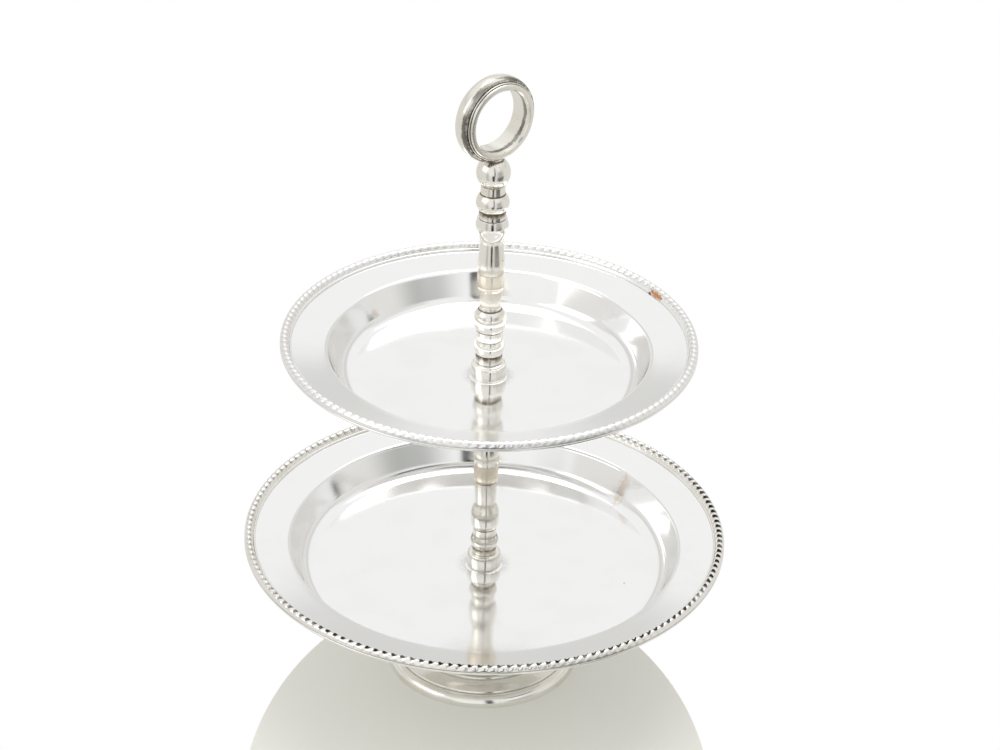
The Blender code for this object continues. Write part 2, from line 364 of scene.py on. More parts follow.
def turning_tree() -> Tree:
    """Build the lathe: a tree that turns a section's points about the Z axis.

    Returns:
        The tree. Its geometry input is a mesh whose points are the section in order.
    """
    graph, given = geometry_tree("Turning", {"Steps": "Int", "Material": "Material"})
    section, steps, calc = given["Geometry"], given["Steps"], graph.calc
    count = graph.add("GeometryNodeAttributeDomainSize", {"Geometry": section}).outputs["Point Count"]
    rows = calc("-", count, 1.0)
    blank = graph.add("GeometryNodeMeshGrid", {
        "Size X": rows,
        "Size Y": steps,
        "Vertices X": count,
        "Vertices Y": calc("+", steps, 1.0),
    })
    place = graph.add("ShaderNodeSeparateXYZ", {0: graph.add("GeometryNodeInputPosition").outputs[0]})
    row = calc("ROUND", calc("+", place.outputs[0], calc("/", rows, 2.0)))
    column = calc("+", place.outputs[1], calc("/", steps, 2.0))
    angle = calc("/", calc("*", column, math.tau), steps)

    def sampled(value: Socket, kind: str) -> Socket:
        """Read a value of the section's point that belongs to each row."""
        return graph.add("GeometryNodeSampleIndex", {"Geometry": section, "Value": value, "Index": row},
                         data_type=kind, domain="POINT").outputs[0]

    mesh = blank.outputs["Mesh"]
    for name in ("recess", "across"):
        mesh = graph.store(mesh, name, sampled(graph.read(name), "FLOAT"))
    spot = sampled(graph.add("GeometryNodeInputPosition").outputs[0], "FLOAT_VECTOR")
    reach, _, height = graph.add("ShaderNodeSeparateXYZ", {0: spot}).outputs
    turned = graph.add("ShaderNodeCombineXYZ", {
        0: calc("*", reach, calc("COSINE", angle)),
        1: calc("*", reach, calc("SINE", angle)),
        2: height,
    })
    bent = graph.add("GeometryNodeSetPosition", {"Geometry": mesh, "Position": turned.outputs[0]})
    closed = graph.add("GeometryNodeMergeByDistance",
                       {"Geometry": bent.outputs[0], "Distance": MERGE_DISTANCE})
    close_tree(graph, closed.outputs[0], given["Material"])
    return graph.tree


def fluting_tree() -> Tree:
    """Build the carver: a tree that cuts slanted flutes across a turned half-round.

    The mesh's attribute "across" runs from 0 to 1 over the half-round and is negative elsewhere.

    Returns:
        The tree.
    """
    graph, given = geometry_tree("Fluting", {
        "Flutes": "Int",
        "Slant": "Float",
        "Depth": "Float",
        "Pit Depth": "Float",
        "Material": "Material",
    })
    calc, step = graph.calc, graph.step
    place = graph.add("ShaderNodeSeparateXYZ", {0: graph.add("GeometryNodeInputPosition").outputs[0]})
    angle = calc("ARCTAN2", place.outputs[1], place.outputs[0])
    across = graph.read("across")
    lean = calc("*", given["Slant"], calc("-", across, 0.5))
    turns = calc("+", calc("*", angle, given["Flutes"]), lean)
    crest = calc("ABSOLUTE", calc("SINE", calc("/", turns, 2.0)))
    valley = calc("-", 1.0, calc("^", crest, CREST_POWER))
    cut = calc("*", valley, calc("*", step(across, *FLUTE_START), step(across, *FLUTE_END)))
    inner = calc("*", step(across, *PIT_START), step(across, *PIT_END))
    pit = calc("*", calc("^", valley, PIT_POWER), inner)
    depth = calc("+", calc("*", cut, given["Depth"]), calc("*", pit, given["Pit Depth"]))
    normal = graph.add("GeometryNodeInputNormal").outputs[0]
    inward = graph.add("ShaderNodeVectorMath", {0: normal, "Scale": calc("*", depth, -1.0)},
                       operation="SCALE")
    # The flute valleys' depth goes into recess, which the finishes darken as painted shade and tarnish.
    share = calc("/", depth, calc("+", given["Depth"], given["Pit Depth"]))
    shade = calc("MAXIMUM", graph.read("recess"), calc("^", share, SHADE_POWER))
    marked = graph.store(given["Geometry"], "recess", shade)
    carved = graph.add("GeometryNodeSetPosition", {"Geometry": marked, "Offset": inward.outputs[0]})
    close_tree(graph, carved.outputs[0], given["Material"])
    return graph.tree


def thread_tree() -> Tree:
    """Build the die: a tree that winds a screw thread round a rod and keeps the rod.

    Returns:
        The tree.
    """
    graph, given = geometry_tree("Threading", {
        "Radius": "Float",
        "Pitch": "Float",
        "Length": "Float",
        "Start": "Float",
        "Material": "Material",
    })
    turns = graph.calc("/", given["Length"], given["Pitch"])
    helix = graph.add("GeometryNodeCurveSpiral", {
        "Resolution": 24,
        "Rotations": turns,
        "Start Radius": given["Radius"],
        "End Radius": given["Radius"],
        "Height": given["Length"],
    })
    ridge = graph.add("GeometryNodeCurvePrimitiveCircle",
                      {"Resolution": 4, "Radius": graph.calc("*", given["Pitch"], RIDGE_SHARE)},
                      mode="RADIUS")
    wound = graph.add("GeometryNodeCurveToMesh",
                      {"Curve": helix.outputs[0], "Profile Curve": ridge.outputs[0], "Fill Caps": True})
    lift = graph.add("ShaderNodeCombineXYZ", {2: given["Start"]})
    raised = graph.add("GeometryNodeTransform",
                       {"Geometry": wound.outputs[0], "Translation": lift.outputs[0]})
    joined = graph.add("GeometryNodeJoinGeometry")
    graph.feed(raised.outputs[0], joined.inputs[0])
    graph.feed(given["Geometry"], joined.inputs[0])
    close_tree(graph, joined.outputs[0], given["Material"])
    return graph.tree


# --- Finishes ---

@dataclass(frozen=True)
class Stain:
    """A worn or tarnished patch at one place on a piece."""

    angle: float  # degrees round the axis from +X
    radius: float  # millimetres from the axis
    height: float  # millimetres above the table
    size: Point  # millimetres along the edge, and up the section
    colour: Colour
    strength: float

    def centre(self) -> Vector:
        """Give the patch's middle in metres."""
        turn = math.radians(self.angle)
        return Vector((self.radius * math.cos(turn), self.radius * math.sin(turn), self.height)) * MM


@dataclass(frozen=True)
class SilverFinish:
    """A polished silver plate, with its tarnish, wear and tool marks, and painted shade in its grooves."""

    slot: str
    colour: Colour = (0.925, 0.925, 0.92)
    # The tarnish colour, which also colours the painted shade in grooves and the painted reflection in the
    # dots.
    tarnish_and_shade: Colour = (0.16, 0.12, 0.07)
    film: Colour = (0.80, 0.75, 0.65)
    film_amount: float = 0.25  # how much of the surface has a thin warm film
    groove_shade_and_tarnish: float = 0.6  # how dark the grooves are, part tarnish in the hollows and part painted shade
    roughness: float = 0.07
    haze: float = 0.05  # how much the roughness varies
    ripple: float = 0.00005  # metres of slow unevenness
    scratches: float = 0.000004  # metres of fine marks round the axis
    pits: float = 0.3
    dents: float = 0.00001  # metres of small knocks
    belt: float = 0.0  # how dark the tarnished belt on the ring's front shoulder is
    flutes: int = 0  # how many flutes hold a dark dot, part tarnish and part painted reflection, if any do
    stains: tuple[Stain, ...] = ()

    def make(self, name: str) -> bpy.types.Material:
        """Build the material.

        Args:
            name: its name.

        Returns:
            The material.
        """
        material = bpy.data.materials.new(name)
        material.use_nodes = True
        Skin(self, Graph(material.node_tree)).paint()
        return material


class Skin:
    """A material as it is painted, with the coordinates and noises that its layers share."""

    def __init__(self, finish: SilverFinish, graph: Graph) -> None:
        """Start the material.

        Args:
            finish: the finish to paint.
            graph: the material's graph.
        """
        self.finish, self.graph = finish, graph
        self.place = graph.add("ShaderNodeTexCoord").outputs["Object"]
        self.x, self.y, self.z = graph.add("ShaderNodeSeparateXYZ", {0: self.place}).outputs
        self.turn = graph.calc("ARCTAN2", self.y, self.x)
        self.cloud, self.grain, self.slow, self.specks, self.knocks = (
            graph.add("ShaderNodeTexNoise", {"Vector": self.place, "Scale": scale, "Detail": detail})
            .outputs[0] for scale, detail in NOISES)

    def ragged(self, value: Socket, amount: float) -> Socket:
        """Break a value's edge up with fine grain."""
        calc = self.graph.calc
        return calc("+", value, calc("*", calc("-", self.grain, 0.5), amount))

    def marks(self) -> Socket:
        """Draw fine polishing marks that run round the axis.

        Returns:
            The marks' height, 0 to 1.
        """
        calc = self.graph.calc
        bent = self.graph.add("ShaderNodeCombineXYZ", {
            0: calc("SQRT", calc("+", calc("^", self.x, 2.0), calc("^", self.y, 2.0))),
            1: calc("*", calc("SINE", self.turn), MARK_DRIFT),
            2: calc("+", self.z, calc("*", calc("COSINE", self.turn), MARK_DRIFT)),
        })
        return self.graph.add("ShaderNodeTexNoise", {
            "Vector": bent.outputs[0], "Scale": 2600.0, "Detail": 3.0, "Roughness": 0.7,
        }).outputs[0]

    def dotted(self) -> Socket:
        """Paint a dark dot in each flute, part tarnish and part painted reflection, darkest on the stand's
        front right.

        Returns:
            How dark the dots are, 0 to 1.
        """
        calc, step = self.graph.calc, self.graph.step
        across = self.graph.add("ShaderNodeAttribute", attribute_name="across").outputs["Fac"]
        lean = calc("*", SLANT, calc("-", across, 0.5))
        phase = calc("+", calc("*", self.turn, float(self.finish.flutes)), lean)
        along = calc("/", calc("WRAP", phase, math.pi, -math.pi), DOT_SIZE[0])
        inward = calc("/", calc("-", across, DOT_PLACE), DOT_SIZE[1])
        reach = calc("SQRT", calc("+", calc("^", along, 2.0), calc("^", inward, 2.0)))
        facing = calc("COSINE", calc("-", self.turn, math.radians(DARKEST_TURN)))
        strength = calc("*", step(facing, -0.3, 0.35, 0.2, 1.0), step(self.cloud, 0.3, 0.55, 0.7, 1.0))
        return calc("*", step(self.ragged(reach, 0.7), 1.1, 0.75), strength)

    def belted(self) -> Socket:
        """Shade the belt in front of the ring's ridge, which polishing cloths miss.

        Returns:
            How dark the belt is, 0 to 1, where the ring's axis lies along Y.
        """
        calc, step, belt = self.graph.calc, self.graph.step, self.finish.belt
        side = self.ragged(calc("/", self.y, MM), 2.6)
        lane = calc("*", step(side, -5.4, -4.4), step(side, -1.6, -2.9))
        return calc("*", lane, step(self.cloud, 0.3, 0.62, belt * 0.55, belt))

    def stained(self, colour: Socket) -> Socket:
        """Lay each stain over the colour.

        Args:
            colour: the colour so far.

        Returns:
            The stained colour.
        """
        graph = self.graph
        for stain in self.finish.stains:
            along, up = (length * MM for length in stain.size)
            turned = graph.add("ShaderNodeMapping", {
                "Vector": self.place,
                "Location": stain.centre(),
                "Rotation": (0.0, 0.0, math.radians(stain.angle)),
                "Scale": (up, along, up),
            }, vector_type="TEXTURE")
            distance = graph.add("ShaderNodeVectorMath", {0: turned.outputs[0]}, operation="LENGTH")
            edge = self.ragged(distance.outputs["Value"], 1.6)
            amount = graph.calc("*", graph.step(edge, 1.0, 0.35), stain.strength)
            colour = graph.mix(amount, colour, (*stain.colour, 1.0))
        return colour

    def relief(self, spotted: Socket) -> Socket:
        """Stack the surface's unevenness, knocks, polishing marks and pits.

        Args:
            spotted: where the pits are, 0 to 1.

        Returns:
            The bent normal.
        """
        finish, normal = self.finish, None
        for height, depth in ((self.slow, finish.ripple), (self.knocks, finish.dents),
                              (self.marks(), finish.scratches), (spotted, -PIT_DEPTH)):
            bump = self.graph.add("ShaderNodeBump",
                                  {"Height": height, "Strength": 1.0, "Distance": abs(depth)})
            bump.invert = depth < 0
            if normal:
                self.graph.feed(normal, bump.inputs["Normal"])
            normal = bump.outputs[0]
        return normal

    def paint(self) -> None:
        """Lay the film, the tarnish and painted shade in the grooves, the dots, belt and stains, and set the
        shader.
        """
        finish, calc, step, mix = self.finish, self.graph.calc, self.graph.step, self.graph.mix
        tarnish_and_shade = (*finish.tarnish_and_shade, 1.0)
        film = calc("*", step(self.cloud, 0.42, 0.72), finish.film_amount)
        colour = mix(film, (*finish.colour, 1.0), (*finish.film, 1.0))
        spotted = calc("*", step(self.specks, 0.68, 0.74), finish.pits)
        # Painted shade: the recess values darken grooves and flute valleys towards the tarnish colour, partly
        # as tarnish in the hollows and partly as shade standing in for occlusion.
        recess = self.graph.add("ShaderNodeAttribute", attribute_name="recess").outputs["Fac"]
        groove_mask = calc("*", recess, step(self.grain, 0.2, 0.62, 0.55, 1.0))
        dark = calc("*", step(groove_mask, 0.12, 0.85), finish.groove_shade_and_tarnish)
        groove_shade_and_pits = calc("MAXIMUM", dark, calc("*", spotted, step(self.cloud, 0.45, 0.6)))
        colour = mix(groove_shade_and_pits, colour, tarnish_and_shade)
        # Dark dots in the flutes, part tarnish and part painted reflection.
        if finish.flutes:
            colour = mix(self.dotted(), colour, tarnish_and_shade)
        if finish.belt:
            colour = mix(self.belted(), colour, tarnish_and_shade)
        haze = calc("*", step(self.cloud, 0.35, 0.7), finish.haze)
        dull = calc("+", calc("+", haze, finish.roughness), calc("*", groove_shade_and_pits, 0.3))
        shader = self.graph.tree.nodes["Principled BSDF"]
        shader.inputs["Metallic"].default_value = 1.0
        for socket, value in (("Base Color", self.stained(colour)), ("Roughness", dull),
                              ("Normal", self.relief(spotted))):
            self.graph.feed(value, shader.inputs[socket])


class Finish(Enum):
    """The finishes of the stand's pieces."""

    PLATE = SilverFinish("silver_plate", film_amount=0.06, roughness=0.09, haze=0.04, pits=0.12, groove_shade_and_tarnish=0.35)
    LOWER_WELL = SilverFinish(
        "silver_plate", film_amount=0.07, roughness=0.09, haze=0.04, pits=0.15, groove_shade_and_tarnish=0.35,
        stains=(Stain(2.0, 107.0, 74.0, (5.0, 13.0), (0.72, 0.58, 0.44), 0.5),
                Stain(-50.5, 84.0, 63.4, (1.2, 0.8), (0.45, 0.42, 0.38), 0.6)))
    UPPER_BORDER = SilverFinish(
        "silver_border", film_amount=0.2, roughness=0.2, haze=0.06, groove_shade_and_tarnish=0.35, ripple=0.00003,
        stains=(Stain(-7.5, 112.2, 214.4, (8.0, 2.6), (0.62, 0.30, 0.14), 0.95),
                Stain(-5.0, 111.6, 213.6, (2.6, 1.4), (0.06, 0.04, 0.03), 0.9)))
    LOWER_BORDER = SilverFinish(
        "silver_border", colour=(0.90, 0.885, 0.85), film_amount=0.35, roughness=0.14, haze=0.06, groove_shade_and_tarnish=0.7,
        ripple=0.00003, tarnish_and_shade=(0.02, 0.018, 0.015), flutes=162)
    FOOT = SilverFinish(
        "silver_foot", colour=(0.89, 0.875, 0.835), film_amount=0.5, roughness=0.11, haze=0.1, pits=1.0,
        groove_shade_and_tarnish=0.45, ripple=0.00012, dents=0.00005)
    COLUMN = SilverFinish(
        "silver_column", colour=(0.87, 0.85, 0.80), film_amount=0.6, roughness=0.13, haze=0.1, pits=1.0,
        groove_shade_and_tarnish=1.0, ripple=0.00012, dents=0.00008)
    JOINT = SilverFinish(
        "silver_warm", colour=(0.82, 0.765, 0.67), film=(0.76, 0.66, 0.51), film_amount=0.6, roughness=0.16,
        haze=0.1, pits=0.8, groove_shade_and_tarnish=0.8, dents=0.00005)
    RING = SilverFinish(
        "silver_ring", colour=(0.84, 0.82, 0.76), tarnish_and_shade=(0.10, 0.09, 0.07), film_amount=0.7, roughness=0.17,
        haze=0.14, pits=1.0, groove_shade_and_tarnish=1.0, ripple=0.00016, dents=0.00009, belt=0.9)
    STEEL = SilverFinish(
        "steel", colour=(0.52, 0.52, 0.53), film=(0.40, 0.36, 0.30), film_amount=0.3, roughness=0.26,
        haze=0.12, pits=0.3)


def hang(name: str, data: bpy.types.ID) -> Thing:
    """Put a mesh, light or camera into the scene.

    Args:
        name: the object's name.
        data: what it shows.

    Returns:
        The object, at the origin.
    """
    thing = bpy.data.objects.new(name, data)
    bpy.context.scene.collection.objects.link(thing)
    return thing


@dataclass
class Bench:
    """The tools and finishes that every piece is made with."""

    turning: Tree = field(default_factory=turning_tree)
    fluting: Tree = field(default_factory=fluting_tree)
    threading: Tree = field(default_factory=thread_tree)
    materials: dict[Finish, bpy.types.Material] = field(default_factory=dict)

    def material(self, finish: Finish) -> bpy.types.Material:
        """Give a finish's material, made the first time that it is asked for."""
        if finish not in self.materials:
            self.materials[finish] = finish.value.make(finish.name.lower())
        return self.materials[finish]

    def run(self, thing: Thing, tree: Tree, finish: Finish, inputs: dict[str, object]) -> Thing:
        """Put an object through a tree and keep the result as a plain mesh.

        Args:
            thing: the object.
            tree: the Geometry Nodes tree.
            finish: its finish.
            inputs: other input names to their values.

        Returns:
            The object, with its new mesh and no modifier.
        """
        modifier = thing.modifiers.new(tree.name, "NODES")
        modifier.node_group = tree
        sockets = {item.name: item.identifier for item in tree.interface.items_tree
                   if item.in_out == "INPUT"}
        for name, value in (*inputs.items(), ("Material", self.material(finish))):
            modifier[sockets[name]] = value
        graph = bpy.context.evaluated_depsgraph_get()
        mesh = bpy.data.meshes.new_from_object(thing.evaluated_get(graph), depsgraph=graph)
        mesh.name = thing.name
        thing.modifiers.clear()
        old, thing.data = thing.data, mesh
        bpy.data.meshes.remove(old)
        return thing

    def turn(self, name: str, outline: Outline, floor: float, finish: Finish, steps: int = COLUMN_STEPS,
             closed: bool = True, across: list[float] | None = None) -> Thing:
        """Turn a piece from its section.

        Args:
            name: the piece's name.
            outline: its section in millimetres, down the outer side.
            floor: the height in millimetres that the section's heights are counted from.
            finish: its finish.
            steps: how many facets go round it.
            closed: whether the section joins its own start, as round a bore.
            across: how far across its half-round each point lies, where it has one.

        Returns:
            The piece.
        """
        # recess: how deep each point lies in a groove, which the finishes darken as painted shade and
        # tarnish.
        recess = hollows(outline, closed)
        lanes = across or [-1.0] * len(outline)
        if closed:
            outline, recess, lanes = (row + row[:1] for row in (outline, recess, lanes))
        mesh = bpy.data.meshes.new(name)
        mesh.from_pydata([(radius * MM, 0.0, (height + floor) * MM) for radius, height in outline], [], [])
        for label, values in (("recess", recess), ("across", lanes)):
            attribute = mesh.attributes.new(label, "FLOAT", "POINT")
            attribute.data.foreach_set("value", values)
        return self.run(hang(name, mesh), self.turning, finish, {"Steps": steps})


def settle(piece: Thing, body: str, finish: Finish, *nodes: str) -> None:
    """Hand a finished piece to the frame.

    Args:
        piece: the piece.
        body: the body that it moves with.
        finish: its finish; not used.
        *nodes: the solids that it stands for.
    """
    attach(piece, body)
    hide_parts(*nodes)
    LOG.info("%s: %d faces on %s", piece.name, len(piece.data.polygons), body)


# --- Sub-assemblies ---

FOOT_SHOULDER = ((21.6, 0.0), (23.4, -0.35), (24.0, -1.5), (23.0, -3.0))
FOOT_STEM = ((17.0, 54.5), (13.6, 46.0), (16.4, 32.0), (27.0, 18.6), (41.2, 11.7))
FOOT_TERRACE = ((41.9, 12.15), (42.6, 12.3), (43.3, 12.0))
FOOT_SLOPE = ((43.7, 11.0), (47.0, 9.2), (51.0, 7.6))
FOOT_BAND = ((51.5, 6.5), (52.9, 6.4), (54.6, 5.5), (56.1, 3.7), (56.8, 1.4))
BAND_BACK = ((55.5, 0.0), (55.5, 1.4), (54.6, 3.4), (52.9, 4.8), (50.4, 5.8))
STEM_BACK = ((43.2, 9.4), (41.0, 10.4), (26.2, 17.5), (15.2, 31.6), (12.3, 46.0), (16.0, 55.6))


@dataclass
class Foot:
    """The spun foot, with the washer, nut and rod end inside it."""

    bench: Bench
    seat: float = 61.9  # height of the foot's flat top
    sheet: float = 1.3
    hole: float = 3.4
    bore: float = 3.3
    washer_radius: float = 7.0
    rod_radius: float = 3.0
    thread_length: float = 15.0
    thread_pitch: float = 1.0
    nut_flats: float = 10.0
    nut_slope: float = 0.55  # how far a corner drops for each millimetre past the circle
    nut_circle: float = 0.97  # share of the flats where the slope starts
    nut_edge: float = 0.3
    nut_steps: int = 96

    def face(self) -> Outline:
        """Draw the foot's outer face from the rod hole to the table.

        Returns:
            The face's points.
        """
        run = flow(shifted(FOOT_SHOULDER, 0.0, self.seat))
        for stations, steps in ((((22.6, self.seat - 3.4), *FOOT_STEM), 14), (FOOT_TERRACE, 4),
                                (FOOT_SLOPE, 6), (FOOT_BAND, 8)):
            run += flow(stations, steps)
        return [(self.hole, self.seat)] + run + [(56.8, 0.25), (56.7, 0.0)]

    def back(self) -> Outline:
        """Draw the foot's inner face from the table back up to the rod hole.

        Returns:
            The face's points.
        """
        under = self.seat - self.sheet
        return flow(BAND_BACK, 6) + flow([*STEM_BACK, (20.4, under)], 10) + [(self.hole, under)]

    def build_shell(self) -> None:
        """Spin the foot itself."""
        outline = soften(self.face() + self.back(), 0.22, closed=True)
        piece = self.bench.turn("spun_foot", outline, 0.0, Finish.FOOT, WIDE_STEPS)
        settle(piece, "stand", Finish.FOOT, "foot_shell")

    def build_washer(self) -> None:
        """Turn the washer."""
        low, high = (corner[2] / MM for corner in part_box("foot_washer"))
        outline = [(self.washer_radius, high), (self.washer_radius, low), (self.bore, low), (self.bore, high)]
        piece = self.bench.turn("stack_washer", soften(outline, 0.15, True), 0.0, Finish.STEEL, 64)
        settle(piece, "stand", Finish.STEEL, "foot_washer")

    def build_nut(self) -> None:
        """Make the nut: a hexagon whose corners are chamfered by a turned cone."""
        low, high = (corner[2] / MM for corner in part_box("foot_nut"))
        flats, bore, edge, steps = self.nut_flats / 2, self.bore, self.nut_edge, self.nut_steps
        turn = np.arange(steps) * math.tau / steps
        hexagon = flats / np.cos((turn + math.pi / 6) % (math.pi / 3) - math.pi / 6)
        circle = flats * self.nut_circle
        drop = (hexagon - circle) * self.nut_slope
        rows = ((bore, high - edge), (bore + edge, high), (circle, high), (hexagon, high - drop),
                (hexagon, low + drop), (circle, low), (bore + edge, low), (bore, low + edge))
        spots = [(reach * math.cos(angle) * MM, reach * math.sin(angle) * MM, level * MM)
                 for row in rows for reach, level, angle in zip(*np.broadcast_arrays(*row, turn))]
        faces = []
        for row in range(len(rows)):
            here, below = row * steps, (row + 1) % len(rows) * steps
            for column in range(steps):
                ahead = (column + 1) % steps
                faces.append((here + column, below + column, below + ahead, here + ahead))
        mesh = bpy.data.meshes.new("stack_nut")
        mesh.from_pydata(spots, [], faces)
        mesh.materials.append(self.bench.material(Finish.STEEL))
        settle(hang("stack_nut", mesh), "stand", Finish.STEEL, "foot_nut")

    def build_rod(self) -> None:
        """Turn the tie rod and cut a thread on each end."""
        low, high = (corner[2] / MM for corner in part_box("tie_rod"))
        core, shank, thread = self.rod_radius - 0.42, self.rod_radius - 0.05, self.thread_length
        outline = [(0.0, high), (core, high), (core, high - thread), (shank, high - thread - 0.5),
                   (shank, low + thread + 0.5), (core, low + thread), (core, low), (0.0, low)]
        outline = soften(outline, 0.3, closed=False)
        piece = self.bench.turn("threaded_rod", outline, 0.0, Finish.STEEL, 32, closed=False)
        for start in (low, high - thread + 0.7):
            self.bench.run(piece, self.bench.threading, Finish.STEEL, {
                "Radius": (self.rod_radius - 0.36) * MM,
                "Pitch": self.thread_pitch * MM,
                "Length": (thread - 1.4) * MM,
                "Start": (start + 0.4) * MM,
            })
        settle(piece, "stand", Finish.STEEL, "tie_rod")

    def build(self) -> None:
        """Make every piece of the foot."""
        self.build_shell()
        self.build_washer()
        self.build_nut()
        self.build_rod()


BORDER_LIP = ((-0.02, 0.25), (-0.45, -0.1), (-0.02, -0.5))
BORDER_ROLL = ((-0.12, -1.4), (-0.45, -1.8), (-0.8, -1.88), (-1.08, -1.6))


@dataclass
class Plate:
    """One plate with its flat brim and the fluted border round it."""

    bench: Bench
    name: str
    body: str
    rim: float  # radius over the border
    floor: float  # height of the plate's floor
    flutes: int
    flute_depth: float
    pit_depth: float
    plate_finish: Finish
    border_finish: Finish
    sheet: float = 1.2
    hole: float = 3.4
    well: float = 34.1  # from the rim in to the foot of the wall
    well_bend: float = 8.8
    wall: float = 26.35  # from the rim in to the top of the wall
    wall_bend: float = 2.8
    pad_radius: float = 11.0
    pad_height: float = 0.2
    brim_height: float = 19.0
    brim_run: float = 23.3
    edge_height: float = 22.2

    def face(self) -> Outline:
        """Draw the plate's upper face from the rod hole to its edge.

        Returns:
            The face's points.
        """
        pad = [(self.hole, self.pad_height), (self.pad_radius - 0.1, self.pad_height), (self.pad_radius, 0.1),
               (self.pad_radius + 0.1, 0.0)]
        foot = (self.rim - self.well, 0.0)
        slope = (self.edge_height - self.brim_height) / self.brim_run
        turn = (self.rim - self.wall, self.brim_height - 0.2)
        edge = (self.rim - 1.4, self.edge_height)
        start = pad[-1][0] + 0.4
        floor = [(start + (foot[0] - 8.0 - start) * step / 10, 0.0) for step in range(11)]
        lower = bend(foot, floor[0], turn, self.well_bend, 26)
        upper = bend(turn, foot, (edge[0], turn[1] + slope * (edge[0] - turn[0])), self.wall_bend, 14)
        brim = [(upper[-1][0] + (edge[0] - upper[-1][0]) * step / 6,
                 upper[-1][1] + (edge[1] - upper[-1][1]) * step / 6) for step in range(1, 7)]
        return pad + floor + lower + upper + brim

    def build_sheet(self) -> None:
        """Spin the plate."""
        outline = thicken(self.face(), self.sheet)
        piece = self.bench.turn(f"{self.name}_dish", outline, self.floor, self.plate_finish, WIDE_STEPS)
        settle(piece, self.body, self.plate_finish, f"{self.name}_plate")

    def build_border(self) -> None:
        """Turn the border and carve its flutes."""
        seat = self.edge_height + 0.3
        inner = self.rim - 6.4
        inner_seat = self.edge_height - 0.65
        bead = arc((inner + 0.6, inner_seat + 0.35), (0.6, 0.95), math.pi, -math.pi, 10)
        groove = [(self.rim - 5.1, seat + 0.32)]
        main_arch = arc((self.rim - 2.5, seat + 0.45), (2.48, 2.85), math.pi, -math.pi, 26)
        lip = flow(shifted(BORDER_LIP, self.rim, seat), 3)
        wall = shifted(((0.0, -0.75), (0.0, -1.0)), self.rim, seat)
        roll = flow(shifted(BORDER_ROLL, self.rim, seat), 4)
        under = [(self.rim - 1.1, seat - 0.1), (inner, inner_seat)]
        outline = bead + groove + main_arch + lip + wall + roll + under
        start = len(bead) + len(groove)
        across = [-1.0] * len(outline)
        for step in range(len(main_arch)):
            across[start + step] = step / (len(main_arch) - 1)
        piece = self.bench.turn(f"{self.name}_gadroon", outline, self.floor, self.border_finish,
                                self.flutes * 8, across=across)
        self.bench.run(piece, self.bench.fluting, self.border_finish, {
            "Flutes": self.flutes,
            "Slant": SLANT,
            "Depth": self.flute_depth * MM,
            "Pit Depth": self.pit_depth * MM,
        })
        settle(piece, self.body, self.border_finish, f"{self.name}_plate_border")

    def build(self) -> None:
        """Make the plate and its border."""
        self.build_sheet()
        self.build_border()


@dataclass(frozen=True)
class Sleeve:
    """One turned sleeve of the column, as runs of stations from the top down."""

    node: str
    name: str
    runs: tuple[tuple[Point, ...], ...]
    finish: Finish = Finish.COLUMN
    edge: float = 0.16  # radius of its worn edges


BASE_COLLAR = (((8.4, 9.6), (9.5, 8.8), (9.95, 6.4), (10.0, 3.6), (9.8, 0.22)),)
LOWER_SLEEVES = (
    Sleeve("lower_base_collar", "lower_collar", BASE_COLLAR),
    Sleeve("lower_baluster", "lower_turning", (
        ((6.6, 57.9), (6.4, 50.0), (6.1, 44.0), (6.5, 41.6)),
        ((6.7, 41.2), (7.9, 37.8), (8.3, 33.4), (8.1, 29.6), (7.2, 27.0)),
        ((6.9, 26.6), (6.8, 24.0), (7.0, 21.6)),
        ((7.2, 21.2), (8.2, 17.6), (7.2, 13.8)),
        ((7.0, 13.4), (7.0, 9.72)),
    )),
    Sleeve("lower_joint_ring", "lower_joint", (
        ((7.3, 70.15), (7.4, 65.0), (7.1, 60.6), (5.9, 58.05)),
    ), Finish.JOINT, 0.3),
    Sleeve("lower_vase", "lower_taper", (
        ((8.3, 103.9), (9.1, 100.0)),
        ((9.1, 99.4), (8.5, 97.0), (7.3, 93.6), (6.5, 89.4), (6.9, 83.0), (7.5, 76.0), (7.1, 70.2)),
    )),
    Sleeve("plate_bearer", "plate_seat", (
        ((11.0, 126.9), (11.0, 124.6), (10.2, 123.6)),
        ((7.0, 122.8), (6.8, 121.0), (6.9, 118.6)),
        ((7.2, 118.2), (9.2, 113.2), (7.5, 109.0)),
        ((7.4, 108.6), (7.4, 104.0)),
    )),
)
UPPER_SLEEVES = (
    Sleeve("upper_base_collar", "upper_collar", BASE_COLLAR),
    Sleeve("upper_baluster", "upper_turning", (
        ((5.9, 55.6), (5.9, 50.0), (5.9, 46.0), (6.3, 43.8)),
        ((6.5, 43.3), (8.4, 41.0), (9.2, 37.2), (9.0, 33.4), (8.0, 30.6)),
        ((7.6, 30.2), (7.5, 27.0), (7.6, 24.2)),
        ((7.8, 23.8), (8.7, 19.8), (7.9, 15.6)),
        ((7.6, 15.2), (7.6, 9.72)),
    )),
    Sleeve("upper_joint_ring", "upper_joint", (
        ((7.4, 66.15), (7.5, 61.0), (7.4, 57.6), (6.6, 55.65)),
    ), Finish.JOINT, 0.3),
    Sleeve("upper_vase", "upper_taper", (
        ((8.3, 100.0), (9.1, 96.2)),
        ((9.1, 95.6), (8.4, 93.0), (7.2, 89.8), (6.5, 85.6), (6.9, 79.6), (7.6, 72.0), (7.2, 66.2)),
    )),
)


@dataclass
class Column:
    """The turned sleeves that stand on one plate."""

    bench: Bench
    sleeves: tuple[Sleeve, ...]
    floor: float
    bore: float = 3.3

    def build(self) -> None:
        """Turn each sleeve."""
        for sleeve in self.sleeves:
            outline = [point for run in sleeve.runs for point in flow(run)]
            outline = soften(bored(outline, self.bore), sleeve.edge, closed=True)
            piece = self.bench.turn(sleeve.name, outline, self.floor, sleeve.finish)
            settle(piece, "stand", sleeve.finish, sleeve.node)


